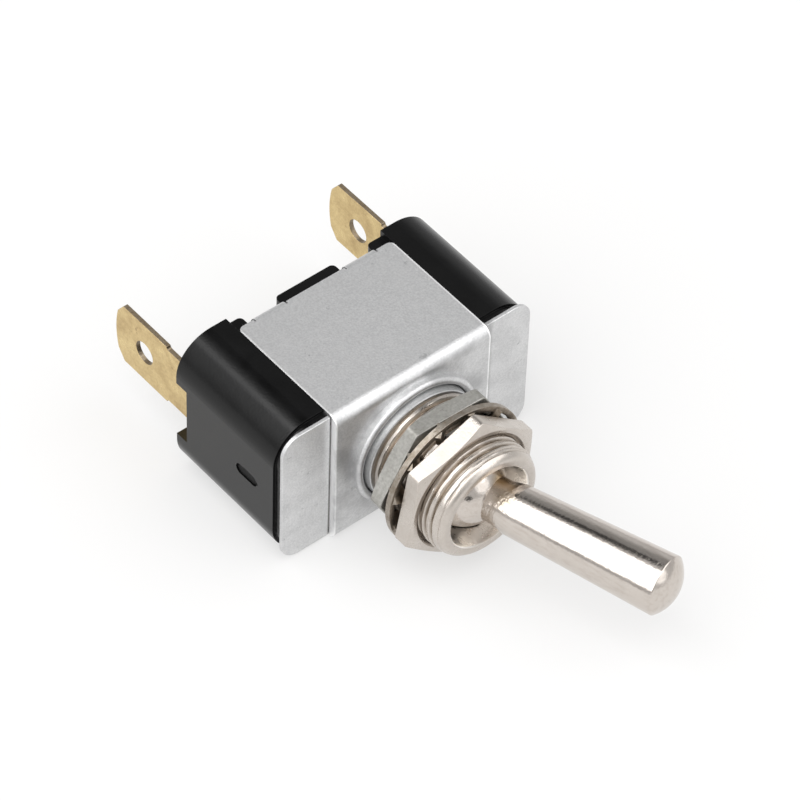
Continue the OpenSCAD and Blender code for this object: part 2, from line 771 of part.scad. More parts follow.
// A terminal: a blade outside the base and a foot that runs inwards on the seat at seat_y
module terminal(side, seat_y, foot_in) {
    foot_out = tab_x + tab_t / 2;
    color(brass) mirror_if(side < 0, [1, 0, 0]) difference() {
        union() {
            translate([tab_x, 0, 0]) across(tab_t) blade_outline(seat_y - foot_t);
            block(foot_out - foot_in, seat_y - foot_t, seat_y, foot_w, (foot_out + foot_in) / 2);
        }
        translate([tab_x - 1, floor_rear + tab_len - hole_back, 0]) rotate([0, 90, 0])
            cylinder(h = 2, r = tab_hole_r);
        children();
    }
}

// Terminal under the fixed contact
module load_terminal() {
    terminal(-1, seat_top, foot_end)
        translate([contact_x, 0, 0]) rearward(seat_top - 1 - foot_t)
            cylinder(h = 2 + foot_t, r = rivet_r);
}

// Terminal under the rocker's cradle, with a window for the rocker's stop
module line_terminal() {
    terminal(1, floor_front, -rivet_r - 1.2) {
        rearward(floor_front - foot_t - 1) cylinder(h = 2 + foot_t, r = rivet_r);
        block(stop_l + 2 * fit_gap, floor_front - foot_t - 1, floor_front + 1,
            stop_w + 2 * fit_gap, post_x);
    }
}

base_housing();
cover_plate();
mounting_strap();
insulating_sheet();
bushing();
back_nut();
lock_washer();
front_nut();
toggle_lever();
lever_pin();
plunger();
plunger_spring();
rocker();
rocker_contact();
rocker_pin();
rocker_cradle();
cradle_rivet();
fixed_contact();
load_terminal();
line_terminal();
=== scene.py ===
# %% [markdown]
# # A panel toggle switch
# The switch is a folded steel strap over a black moulded base, with a threaded bushing,
# two nuts and a toothed washer, a round lever, and two brass blades at the back.
# The solids come in as a fixed frame. Everything here gives them their surfaces, or
# replaces a solid by a finer surface of the same form.

# %% Load the frame
import json
import math

import bmesh
import bpy
import numpy as np
from mathutils import Matrix, Vector


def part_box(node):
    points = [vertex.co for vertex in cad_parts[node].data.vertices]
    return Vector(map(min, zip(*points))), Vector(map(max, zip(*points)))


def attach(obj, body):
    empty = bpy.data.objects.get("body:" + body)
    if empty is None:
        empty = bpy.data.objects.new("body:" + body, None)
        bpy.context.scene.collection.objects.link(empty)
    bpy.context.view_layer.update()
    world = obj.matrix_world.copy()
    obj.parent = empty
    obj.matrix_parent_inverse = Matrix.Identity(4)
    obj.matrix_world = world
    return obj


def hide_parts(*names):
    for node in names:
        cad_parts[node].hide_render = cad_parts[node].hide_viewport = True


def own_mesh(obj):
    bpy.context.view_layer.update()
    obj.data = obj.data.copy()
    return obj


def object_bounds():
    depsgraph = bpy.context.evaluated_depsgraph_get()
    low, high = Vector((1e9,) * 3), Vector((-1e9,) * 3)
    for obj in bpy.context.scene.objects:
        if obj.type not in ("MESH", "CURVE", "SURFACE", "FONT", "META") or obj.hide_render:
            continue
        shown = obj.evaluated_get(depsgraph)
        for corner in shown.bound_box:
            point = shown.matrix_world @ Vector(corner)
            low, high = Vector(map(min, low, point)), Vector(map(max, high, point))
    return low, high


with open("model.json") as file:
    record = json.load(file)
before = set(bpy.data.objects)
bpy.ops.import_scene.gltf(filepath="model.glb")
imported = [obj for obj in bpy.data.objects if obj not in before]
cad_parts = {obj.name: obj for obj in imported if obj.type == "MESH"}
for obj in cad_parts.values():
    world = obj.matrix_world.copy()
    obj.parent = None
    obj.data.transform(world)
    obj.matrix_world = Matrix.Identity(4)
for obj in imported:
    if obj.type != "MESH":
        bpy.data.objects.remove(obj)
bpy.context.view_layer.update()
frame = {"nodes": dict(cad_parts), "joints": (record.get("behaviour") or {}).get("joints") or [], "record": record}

MM = 0.001


def in_mm(place):
    """A place in rounded millimetres, to print."""
    return [round(value / MM, 2) for value in place]


# %% [markdown]
# ## Places that the pieces share
# The bushing's axis is the Y axis, and the lever points to -Y. The lever's ball sits on
# its hinge, so the hinge's place in the frame is the ball's centre, and the ends of each
# piece are read from its solid's box.

# %% Read the axes and the ends of the pieces
joints = {j["name"]: j for j in frame["joints"]}
pivot = Vector(joints["lever_tilt"]["pos_m"])
slide_axis = Vector(joints["plunger_slide"]["axis"])
lever_axis = -slide_axis.normalized()
mounts = {m["name"]: m for m in frame["record"]["mounts"]}
thread_r = mounts["panel_bushing"]["dims"]["r_mm"] * MM
bush_low, bush_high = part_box("bushing")
front_low, front_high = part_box("front_nut")
back_low, back_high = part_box("back_nut")
print("pivot", pivot, "lever axis", lever_axis, "thread radius", thread_r)

# %% [markdown]
# ## Colour that changes over a surface
# Plating is never one flat grey. Zinc dries in soft clouds a few millimetres wide, with
# a fine grain in between and a few dark specks. One node group makes these three masks
# from noise, and each finish mixes them with its own strength.

# %% Make a node group with named sockets
def new_group(name, inputs, outputs):
    """An empty shader node group. inputs maps each socket's name to its default value."""
    tree = bpy.data.node_groups.new(name, "ShaderNodeTree")
    for label, value in inputs.items():
        kind = "NodeSocketVector" if value is None else "NodeSocketFloat"
        socket = tree.interface.new_socket(label, in_out="INPUT", socket_type=kind)
        if value is not None:
            socket.default_value = value
    for label in outputs:
        tree.interface.new_socket(label, in_out="OUTPUT", socket_type="NodeSocketFloat")
    return tree, tree.nodes.new("NodeGroupInput"), tree.nodes.new("NodeGroupOutput")


def add_node(tree, kind, values=(), links=(), **settings):
    """A node with its settings, its sockets' values and the sockets that feed it."""
    node = tree.nodes.new(kind)
    for key, value in settings.items():
        setattr(node, key, value)
    for key, value in dict(values).items():
        node.inputs[key].default_value = value
    for key, socket in dict(links).items():
        tree.links.new(socket, node.inputs[key])
    return node


def maths(tree, operation, first, second, clamp=False):
    """One Math node, fed by sockets or numbers."""
    node = add_node(tree, "ShaderNodeMath", operation=operation, use_clamp=clamp)
    for place, value in enumerate((first, second)):
        if isinstance(value, (int, float)):
            node.inputs[place].default_value = value
        else:
            tree.links.new(value, node.inputs[place])
    return node.outputs[0]


def stretch(tree, value, low, high):
    """Maps low..high to 0..1 and holds it there."""
    node = add_node(tree, "ShaderNodeMapRange", {"From Min": low, "From Max": high},
                    {"Value": value})
    node.clamp = True
    return node.outputs[0]


SOFT_SPAN = (0.3, 0.7)  # the part of the noise's range that becomes 0 to 1
SPECK_SPAN = (0.67, 0.74)  # only the highest peaks of the noise become specks


def make_clouds():
    """Group: clouds, grain and specks, each 0 to 1, from noise at three scales."""
    tree, source, target = new_group(
        "clouds_and_grain",
        {"Vector": None, "Cloud scale": 300.0, "Grain scale": 4000.0, "Speck scale": 900.0},
        ["Clouds", "Grain", "Specks"],
    )
    for label, scale_name, span, detail, roughness, distortion in (
        ("Clouds", "Cloud scale", SOFT_SPAN, 4.0, 0.6, 0.4),
        ("Grain", "Grain scale", SOFT_SPAN, 2.0, 0.5, 0.0),
        ("Specks", "Speck scale", SPECK_SPAN, 3.0, 0.7, 0.0),
    ):
        noise = add_node(
            tree, "ShaderNodeTexNoise",
            {"Detail": detail, "Roughness": roughness, "Distortion": distortion},
            {"Vector": source.outputs["Vector"], "Scale": source.outputs[scale_name]},
        )
        tree.links.new(stretch(tree, noise.outputs["Fac"], *span), target.inputs[label])
    return tree


clouds_group = make_clouds()
print("group", clouds_group.name, [s.name for s in clouds_group.interface.items_tree])

# %% [markdown]
# ## Finishes
# Every finish is one Principled shader. Metals differ by colour and by how wide they
# scatter a reflection: bright nickel is almost a mirror with a fine sparkle, zinc is
# satin, and the back nut is duller still. The black base is a moulded resin whose skin
# is smooth enough for a soft broad highlight.

# %% Build one finish from its numbers
GRAIN_DEPTH = 0.02 * MM
SHADED = 0.6  # how much of its colour a finish keeps in its clouds, if no dark colour is given
def finish(name, colour, metallic, roughness, cloud=0.0, grain=0.0, speck=0.0, bump=0.0,
           dark=None, scales=(300.0, 4000.0, 900.0), rough_swing=0.0, fixed=()):
    """A material: base colour darkened towards dark by clouds, grain and specks, roughness that
    swings with the clouds, and a bump from the grain."""
    material = bpy.data.materials.new(name)
    material.use_nodes = True
    tree = material.node_tree
    shader = tree.nodes["Principled BSDF"]
    shader.inputs["Metallic"].default_value = metallic
    for key, value in dict(fixed).items():
        shader.inputs[key].default_value = value
    place = add_node(tree, "ShaderNodeTexCoord").outputs["Object"]
    masks = add_node(tree, "ShaderNodeGroup", node_tree=clouds_group)
    tree.links.new(place, masks.inputs["Vector"])
    for key, value in zip(("Cloud scale", "Grain scale", "Speck scale"), scales):
        masks.inputs[key].default_value = value
    dark = dark or tuple(SHADED * c for c in colour)
    amount = maths(tree, "MULTIPLY", masks.outputs["Clouds"], cloud)
    amount = maths(tree, "ADD", amount, maths(tree, "MULTIPLY", masks.outputs["Grain"], grain))
    specks = maths(tree, "MULTIPLY", masks.outputs["Specks"], speck)
    amount = maths(tree, "ADD", amount, specks, clamp=True)
    mix = add_node(tree, "ShaderNodeMix", data_type="RGBA")
    mix.inputs["A"].default_value = (*colour, 1)
    mix.inputs["B"].default_value = (*dark, 1)
    tree.links.new(amount, mix.inputs["Factor"])
    tree.links.new(mix.outputs["Result"], shader.inputs["Base Color"])
    swing = maths(tree, "MULTIPLY", masks.outputs["Clouds"], rough_swing)
    tree.links.new(maths(tree, "ADD", swing, roughness), shader.inputs["Roughness"])
    if bump:
        grained = add_node(tree, "ShaderNodeBump", {"Strength": bump, "Distance": GRAIN_DEPTH},
                           {"Height": masks.outputs["Grain"]})
        tree.links.new(grained.outputs["Normal"], shader.inputs["Normal"])
    return material


zinc = finish("zinc_plate", (0.74, 0.74, 0.742), 1.0, 0.43, cloud=0.36, grain=0.40, speck=0.7,
              bump=0.35, dark=(0.46, 0.463, 0.467), scales=(420.0, 5200.0, 800.0), rough_swing=0.05)
dull_zinc = finish("handled_zinc", (0.62, 0.623, 0.622), 1.0, 0.42, cloud=0.4, grain=0.3, speck=0.4,
                   bump=0.3, dark=(0.34, 0.345, 0.35), scales=(700.0, 4200.0, 900.0),
                   rough_swing=0.1)
nickel = finish("bright_nickel", (0.62, 0.575, 0.53), 1.0, 0.24, cloud=0.25, grain=0.20, speck=0.5,
                bump=0.22, dark=(0.42, 0.37, 0.32), scales=(500.0, 4500.0, 1300.0),
                rough_swing=0.10)
lever_nickel = finish("polished_nickel", (0.63, 0.58, 0.535), 1.0, 0.11, cloud=0.15, grain=0.10,
                      speck=0.3, bump=0.20, dark=(0.46, 0.41, 0.36), scales=(420.0, 5000.0, 1200.0),
                      rough_swing=0.06)
washer_nickel = finish("worn_nickel", (0.46, 0.42, 0.37), 1.0, 0.30, cloud=0.7, grain=0.3,
                       speck=0.8, bump=0.35, dark=(0.19, 0.15, 0.11),
                       scales=(900.0, 4000.0, 1500.0), rough_swing=0.15)
dull_nickel = finish("dull_nickel", (0.50, 0.49, 0.465), 1.0, 0.44, cloud=0.45, grain=0.45,
                     speck=0.6, bump=0.40, dark=(0.25, 0.245, 0.22), scales=(500.0, 3800.0, 1200.0),
                     rough_swing=0.12)
phenolic = finish("black_phenolic", (0.001, 0.001, 0.001), 0.0, 0.20, cloud=0.5, grain=0.4,
                  bump=0.22, dark=(0.003, 0.003, 0.0031), scales=(250.0, 5000.0, 900.0),
                  rough_swing=0.07, fixed={"Specular IOR Level": 0.27})
brass = finish("blade_brass", (0.77, 0.60, 0.29), 1.0, 0.25, cloud=0.55, grain=0.25, speck=0.9,
               bump=0.25, dark=(0.40, 0.27, 0.12), scales=(520.0, 4600.0, 800.0), rough_swing=0.14)
brass_edge = finish("cut_brass", (0.36, 0.30, 0.22), 1.0, 0.42, cloud=0.5, grain=0.4, speck=0.5,
                    bump=0.5, dark=(0.17, 0.12, 0.07), scales=(900.0, 3500.0, 1100.0),
                    rough_swing=0.1)
bronze = finish("spring_bronze", (0.72, 0.50, 0.30), 1.0, 0.30, cloud=0.2, grain=0.1, bump=0.1)
silver = finish("contact_silver", (0.88, 0.88, 0.89), 1.0, 0.25, cloud=0.15, grain=0.1, bump=0.1)
fibre = finish("pressed_fibre", (0.30, 0.25, 0.19), 0.0, 0.75, cloud=0.5, grain=0.4, bump=0.5)
nylon = finish("moulded_nylon", (0.82, 0.78, 0.68), 0.0, 0.42, cloud=0.2, grain=0.1, bump=0.05)
print("finishes", sorted(m.name for m in bpy.data.materials))

# %% [markdown]
# ## Stains and relief
# Two more effects go on top of a finish. A stain mixes a second colour over the first
# where a mask says so. A relief bends the reflection with a height, below the grain that
# the finish already has.

# %% Define stains, relief and the masks for them
OVAL_OUT, OVAL_IN = 1.08, 0.98  # an oval mask falls off between these shares of its half sizes


def object_place(material):
    """Where a point lies on the piece."""
    return material.node_tree.nodes["Texture Coordinate"].outputs["Object"]


def object_axis(material, axis):
    """How far a point of the piece lies along X, Y or Z."""
    split = add_node(material.node_tree, "ShaderNodeSeparateXYZ",
                     links={0: object_place(material)})
    return split.outputs[axis]


def stain(material, mask, colour, amount=1.0):
    """Mixes an amount of a colour over the material's own, by a mask of 0 to 1."""
    tree = material.node_tree
    if amount < 1:
        mask = maths(tree, "MULTIPLY", mask, amount)
    target = tree.nodes["Principled BSDF"].inputs["Base Color"]
    mix = add_node(tree, "ShaderNodeMix", data_type="RGBA")
    tree.links.new(target.links[0].from_socket, mix.inputs["A"])
    mix.inputs["B"].default_value = (*colour, 1)
    tree.links.new(mask, mix.inputs["Factor"])
    tree.links.new(mix.outputs["Result"], target)


def relief(material, height, strength, depth):
    """Bends the material's normals by a height, before its own grain."""
    tree = material.node_tree
    grain = tree.nodes["Bump"]
    bump = add_node(tree, "ShaderNodeBump", {"Strength": strength, "Distance": depth},
                    {"Height": height}, name="Relief")
    if grain.inputs["Normal"].links:
        tree.links.new(grain.inputs["Normal"].links[0].from_socket, bump.inputs["Normal"])
    tree.links.new(bump.outputs["Normal"], grain.inputs["Normal"])


def turned_noise(material, turn, scale, detail=2.0):
    """Noise with its own scale along each axis, after turning the pattern about Z by turn."""
    tree = material.node_tree
    place = add_node(tree, "ShaderNodeMapping", {"Rotation": (0, 0, turn), "Scale": scale},
                     {"Vector": object_place(material)})
    noise = add_node(tree, "ShaderNodeTexNoise", {"Scale": 1.0, "Detail": detail},
                     {"Vector": place.outputs["Vector"]})
    return noise.outputs["Fac"]


def near(material, centre, inner, outer):
    """Mask: 1 within inner of a point of the piece, 0 beyond outer."""
    tree = material.node_tree
    away = add_node(tree, "ShaderNodeVectorMath", {1: centre}, {0: object_place(material)},
                    operation="DISTANCE")
    return stretch(tree, away.outputs["Value"], outer, inner)


def inside_oval(material, centre, halves):
    """Mask: 1 inside the oval body with these half sizes about a point of the piece."""
    tree = material.node_tree
    shift = [-c / h for c, h in zip(centre, halves)]
    place = add_node(tree, "ShaderNodeMapping",
                     {"Location": shift, "Scale": [1 / h for h in halves]},
                     {"Vector": object_place(material)})
    away = add_node(tree, "ShaderNodeVectorMath", links={0: place.outputs["Vector"]},
                    operation="LENGTH")
    return stretch(tree, away.outputs["Value"], OVAL_OUT, OVAL_IN)


def both(material, first, second):
    """Mask: the first where the second is."""
    return maths(material.node_tree, "MULTIPLY", first, second)


def roughen(material, mask, amount):
    """Adds to the roughness where the mask says so."""
    tree = material.node_tree
    target = tree.nodes["Principled BSDF"].inputs["Roughness"]
    more = maths(tree, "MULTIPLY", mask, amount)
    added = maths(tree, "ADD", target.links[0].from_socket, more, clamp=True)
    tree.links.new(added, target)


# %% [markdown]
# ## Gate mark
# Where the moulding was broken from its runner, the end of the base keeps a small oval
# of torn resin. It scatters the light that the smooth skin around it reflects.

# %% Roughen the gate mark
gate_y = 6.5 * MM
gate_halves = (0.4 * MM, 1.5 * MM, 0.62 * MM)
torn_scale = (3000.0, 3000.0, 3000.0)
gate_mark = Vector((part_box("base_housing")[0].x, gate_y, 0.0))
in_gate = inside_oval(phenolic, gate_mark, gate_halves)
roughen(phenolic, in_gate, amount=0.45)
torn = both(phenolic, in_gate, turned_noise(phenolic, 0.0, torn_scale))
relief(phenolic, torn, strength=1.0, depth=0.15 * MM)
print("gate mark at", in_mm(gate_mark))

# %% [markdown]
# ## Plate, strap and washer
# The plate holds a thin dark line of dirt and painted shadow along the strap, and beside it on one side a band of
# painted shadow.
# The strap's cut edges are worn bright with a painted highlight, and handling has dulled patches of its front.
# The washer's teeth between the nuts are darkened with painted brown shade.

# %% Darken the plate beside the strap
strap_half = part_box("mounting_strap")[1].x
seam_end, seam_full = strap_half + 0.20 * MM, strap_half + 0.06 * MM
shadow_band_end, shadow_band_full = strap_half + 1.05 * MM, strap_half + 0.65 * MM
plate_zinc = zinc.copy()
plate_zinc.name = "plate_zinc"
across = object_axis(plate_zinc, "X")
from_middle = maths(plate_zinc.node_tree, "ABSOLUTE", across, 0.0)
# dirt and painted shadow: a thin dark line on the plate along the strap's edge
seam_dirt_and_shadow = stretch(plate_zinc.node_tree, from_middle, seam_end, seam_full)
stain(plate_zinc, seam_dirt_and_shadow, (0.06, 0.06, 0.06), amount=0.9)
# painted shadow: a grey band on the plate beside the strap's edge, on the +X side only
strap_shadow_band = stretch(plate_zinc.node_tree, across, shadow_band_end, shadow_band_full)
right_side = stretch(plate_zinc.node_tree, across, 0.0, 1.0 * MM)
stain(plate_zinc, both(plate_zinc, strap_shadow_band, right_side), (0.30, 0.30, 0.30), amount=0.5)
print("strap half width", round(strap_half / MM, 2))

# %% [markdown]
# On the strap the masks are how far a point lies from the middle, for the cut edges,
# and how deep it lies behind the front, for the handled patches.

# %% Brighten the strap's edges and dull its front
edge_start, edge_full = strap_half - 0.20 * MM, strap_half - 0.08 * MM
front_end, front_full = 1.5 * MM, 1.0 * MM
patch_scale = (330.0, 330.0, 330.0)
strap_zinc = zinc.copy()
strap_zinc.name = "strap_zinc"
from_middle = maths(strap_zinc.node_tree, "ABSOLUTE", object_axis(strap_zinc, "X"), 0.0)
worn_edge_highlight = stretch(strap_zinc.node_tree, from_middle, edge_start, edge_full)
# worn edges with a painted highlight: near-white colour along the strap's cut edges
stain(strap_zinc, worn_edge_highlight, (0.98, 0.98, 0.98))
in_front = stretch(strap_zinc.node_tree, object_axis(strap_zinc, "Y"), front_end, front_full)
patches = turned_noise(strap_zinc, 0.0, patch_scale, detail=5.0)
handled = both(strap_zinc, in_front, stretch(strap_zinc.node_tree, patches, 0.46, 0.66))
stain(strap_zinc, handled, (0.36, 0.36, 0.365), amount=0.55)
print("strap marks from", in_mm((edge_start, edge_full)))

# %% [markdown]
# The washer's mask is an oval that is round about the bushing's axis and far deeper than
# the washer, so it takes in the teeth and leaves the outer rim.

# %% Paint shade on the washer between its teeth
tooth_r, any_depth = 6.9 * MM, 1.0
teeth_shade = inside_oval(washer_nickel, (0.0, 0.0, 0.0), (tooth_r, any_depth, tooth_r))
# painted shade: the washer's teeth, between the nuts, are darkened brown
stain(washer_nickel, teeth_shade, (0.13, 0.10, 0.07), amount=0.85)
print("tarnish within", round(tooth_r / MM, 2), "mm of the axis")

# %% [markdown]
# ## Marks on the lever
# Turning leaves fine rings round the lever, and rubbing leaves faint streaks along it.
# The plating is crinkled and brown on one side of the neck, with a brown spot on the
# other. The patterns are turned to follow the lever's own axis.

# %% Draw the rings, the streaks and the neck's stains
ring_scale, ring_depth = (500.0, 2600.0, 500.0), 0.02 * MM
streak_scale = (2400.0, 90.0, 2400.0)
crease_scale, crease_depth = (3600.0, 2400.0, 3600.0), 0.05 * MM
neck_top = pivot + lever_axis * 5.5 * MM + Vector((-1.0, 0.0, 2.0)) * MM
neck_side = pivot + Vector((1.7, -3.2, 1.75)) * MM

lever_turn = math.atan2(lever_axis.x, -lever_axis.y)
relief(lever_nickel, turned_noise(lever_nickel, -lever_turn, ring_scale), 0.7, ring_depth)
streaks = turned_noise(lever_nickel, -lever_turn, streak_scale, detail=3.0)
rubbed = stretch(lever_nickel.node_tree, streaks, 0.48, 0.66)
stain(lever_nickel, rubbed, (0.52, 0.465, 0.42), amount=0.5)
on_neck = near(lever_nickel, neck_top, 0.5 * MM, 1.5 * MM)
creases = turned_noise(lever_nickel, -lever_turn, crease_scale, detail=1.0)
crinkle = both(lever_nickel, on_neck, creases)
relief(lever_nickel, crinkle, 0.8, crease_depth)
stain(lever_nickel, crinkle, (0.34, 0.27, 0.17), amount=0.9)
stain(lever_nickel, near(lever_nickel, neck_side, 0.6 * MM, 1.5 * MM), (0.42, 0.31, 0.19))
print("lever turned by", round(math.degrees(lever_turn), 1), "degrees")

# %% [markdown]
# ## Edges
# No real edge is a knife edge, and the thin bright line that a rounded edge draws is
# what makes a part look solid. For folded and moulded pieces a copy of the solid is
# enough: its loose triangles are merged, flat faces are joined, and a small bevel
# rounds every edge that is sharper than 25 degrees. The shading then follows the large
# faces, so a flat stays flat up to its rounded edge.

# %% Round the edges of a copied solid
SHARP = math.radians(25)
MERGE = 0.002 * MM  # points of a solid that are nearer than this are one
COPLANAR = math.radians(0.3)  # neighbours that turn less than this are one face
MARK_WEIGHT = 0.2  # the share of the rounding that a small mark's edges get


def read_all(items, name, width=1, kind=float):
    """One property of every item as an array, with a row for each if it is wide."""
    numbers = np.zeros(len(items) * width, kind)
    items.foreach_get(name, numbers)
    return numbers.reshape(-1, width) if width > 1 else numbers


def new_piece(name, mesh, material):
    """A mesh placed in the scene, with one material and smooth up to the sharp angle."""
    piece = bpy.data.objects.new(name, mesh)
    bpy.context.scene.collection.objects.link(piece)
    mesh.materials.append(material)
    mesh.polygons.foreach_set("use_smooth", np.ones(len(mesh.polygons), bool))
    mesh.set_sharp_from_angle(angle=SHARP)
    return piece


def seat(piece, node):
    """Puts the piece in the place of its solid: on the same body, with the solid hidden."""
    body = next(b for b, names in frame["record"]["behaviour"]["bodies"].items() if node in names)
    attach(piece, body)
    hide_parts(node)


def edge_weights(mesh, mark_at, mark_r):
    """1 for each sharp edge, 0 for the rest, and less for the sharp edges of a mark."""
    loop_edges = read_all(mesh.loops, "edge_index", kind=int)
    sizes = read_all(mesh.polygons, "loop_total", kind=int)
    faces = np.repeat(np.arange(len(sizes)), sizes)[np.argsort(loop_edges, kind="stable")]
    facing = read_all(mesh.polygons, "normal", 3)[faces.reshape(-1, 2)]
    sharp = (facing[:, 0] * facing[:, 1]).sum(axis=1) < math.cos(SHARP)
    if mark_at is None:
        return sharp
    ends = read_all(mesh.edges, "vertices", 2, int)
    middles = read_all(mesh.vertices, "co", 3)[ends].mean(axis=1)
    in_mark = np.linalg.norm(middles - np.array(mark_at), axis=1) < mark_r
    return np.where(in_mark, MARK_WEIGHT, 1.0) * sharp


def dress(node, edge, material, segments=3, mark_at=None, mark_r=0.0):
    """A merged copy of a solid whose sharp edges are rounded by edge."""
    mesh = bpy.data.meshes.new(node + "_skin")
    work = bmesh.new()
    work.from_mesh(frame["nodes"][node].data)
    bmesh.ops.remove_doubles(work, verts=work.verts, dist=MERGE)
    bmesh.ops.dissolve_limit(work, angle_limit=COPLANAR, verts=work.verts, edges=work.edges)
    work.to_mesh(mesh)
    work.free()
    piece = new_piece(node + "_skin", mesh, material)
    if edge:
        bevel = piece.modifiers.new("rounded_edges", "BEVEL")
        bevel.width = edge
        bevel.segments = segments
        bevel.limit_method = "WEIGHT"
        weights = mesh.attributes.new("bevel_weight_edge", "FLOAT", "EDGE")
        values = edge_weights(mesh, mark_at, mark_r).astype(np.float32)
        weights.data.foreach_set("value", values)
    flats = piece.modifiers.new("flat_faces", "WEIGHTED_NORMAL")
    flats.mode = "FACE_AREA"
    flats.weight = 100  # large faces count most
    flats.keep_sharp = True
    seat(piece, node)
    print(piece.name, len(mesh.polygons), "faces")
    return piece


dress("mounting_strap", 0.10 * MM, strap_zinc)
dress("cover_plate", 0.07 * MM, plate_zinc)
dress("base_housing", 0.18 * MM, phenolic, mark_at=gate_mark, mark_r=1.8 * MM)
dress("lock_washer", 0.08 * MM, washer_nickel, segments=2)

# %% [markdown]
# ## Blades
# The blades are stamped from sheet. Their faces keep the bright rolled skin and their
# cut edges are torn and darker, so the faces that don't look along X get a second
# material.

# %% Dress the blades with two finishes
CUT_FACE = 0.5  # a face whose normal has less than this along X is a cut edge


def dress_blade(node):
    """A blade whose cut edges have their own finish."""
    blade = dress(node, 0.05 * MM, brass, segments=2)
    blade.data.materials.append(brass_edge)
    facing_x = np.abs(read_all(blade.data.polygons, "normal", 3)[:, 0])
    blade.data.polygons.foreach_set("material_index", (facing_x < CUT_FACE).astype(int))


for node in ("load_terminal", "line_terminal"):
    dress_blade(node)

# %% [markdown]
# ## Inner pieces
# The mechanism is closed in, and shows only if someone takes the switch apart. Its
# solids are right as they are and only get their finishes.

# %% Give the inner solids their finishes
INNER = {
    "insulating_sheet": fibre, "lever_pin": dull_nickel, "plunger": nylon,
    "rocker": bronze, "rocker_contact": silver,
    "rocker_pin": dull_nickel, "rocker_cradle": brass, "cradle_rivet": brass,
    "fixed_contact": silver,
}
for node, material in INNER.items():
    solid = frame["nodes"][node]
    solid.data.materials.clear()
    solid.data.materials.append(material)
print("inner finishes", len(INNER))

# %% [markdown]
# ## Surfaces on a grid
# The turned and threaded pieces are worked out as a grid of points: the rows follow the
# section round the piece and the columns turn about the axis. A thread is then only a
# radius that changes with the angle, which no plain turning of a profile can give.

# %% Turn a grid of radii into a mesh
GRID_MERGE = 0.0005 * MM  # the points of a grid that meet on the axis are one
def grid_piece(name, points, material, closed_rows=True):
    """A piece from points[row, column]: the columns always close, the rows if asked."""
    rows, columns = points.shape[:2]
    index = np.arange(rows * columns).reshape(rows, columns)
    if closed_rows:
        index = np.vstack([index, index[:1]])
    right = np.roll(index, -1, axis=1)
    faces = np.stack([index[:-1], right[:-1], right[1:], index[1:]], axis=-1).reshape(-1, 4)
    mesh = bpy.data.meshes.new(name)
    mesh.from_pydata(points.reshape(-1, 3), [], faces)
    work = bmesh.new()
    work.from_mesh(mesh)
    bmesh.ops.remove_doubles(work, verts=work.verts, dist=GRID_MERGE)
    bmesh.ops.recalc_face_normals(work, faces=work.faces)
    work.to_mesh(mesh)
    work.free()
    piece = new_piece(name, mesh, material)
    print(name, len(mesh.polygons), "faces")
    return piece


def around_bushing(y, radius, turn):
    """Points (radius cos turn, y, radius sin turn) of a grid about the bushing's axis."""
    y, radius, turn = np.broadcast_arrays(y, radius, turn)
    return np.stack([radius * np.cos(turn), y, radius * np.sin(turn)], axis=-1)


# %% [markdown]
# ## Thread
# A 12 mm switch bushing has a fine thread of 0.8 mm pitch. The radius falls from a flat
# crest down two straight flanks: how deep depends on where the point lies between two
# turns, which is y plus one pitch for each turn round the axis. The sign makes it a
# right-hand thread.

# %% Thread radius as a function of place and angle
PITCH = 0.8 * MM
THREAD_DEPTH = 0.30 * MM
CREST, ROOT = 0.62, 0.12  # a flank's ends, as shares of half a pitch from the groove's middle


def thread_drop(y, turn):
    """Depth below the crest: 0 on the crest, growing evenly down a flank to the root."""
    phase = (y / PITCH + turn / (2 * np.pi)) % 1.0
    away = np.abs(phase - 0.5) * 2
    return THREAD_DEPTH * np.clip((CREST - away) / (CREST - ROOT), 0, 1)


# %% [markdown]
# ## Bushing
# One closed surface: up the rear of the flange, over the plain collar, along the thread,
# over the rounded nose, down the flared mouth into the ball seat, and back through the
# bore, where two slots hold the lever's pin. The nose was rounded after the thread was
# cut, so the surface is the smaller of the nose's radius and the thread's.

# %% Work out the bushing
TURNS = np.linspace(0, 2 * np.pi, 240, endpoint=False)[None, :]
ROWS_A_PITCH = 20


def arc(centre_y, centre_r, radius, start, end, steps):
    """Points (y, r) on a circle from start to end degrees; 0 is along +Y and 90 outwards."""
    a = np.radians(np.linspace(start, end, steps))
    return np.stack([centre_y + radius * np.cos(a), centre_r + radius * np.sin(a)], axis=-1)


flange_r, flange_t = 6.6 * MM, 0.9 * MM
flange_front = bush_high.y - flange_t
edge_break = 0.1 * MM
collar_r = thread_r + 0.1 * MM
collar_front = -0.5 * MM
thread_start = collar_front - 0.30 * MM
tip = bush_low.y
nose_len, nose_r = 1.1 * MM, 5.1 * MM
nose_start = tip + nose_len
nose_drop = thread_r - 0.12 * MM - nose_r
lip_r = 0.25 * MM
mouth_r = 4.5 * MM
bore_r = 4.2 * MM
seat_r = 4.05 * MM
seat_edge_r = 3.92 * MM
seat_edge_y = pivot.y - math.sqrt(seat_r ** 2 - seat_edge_r ** 2)
root_r = thread_r - THREAD_DEPTH

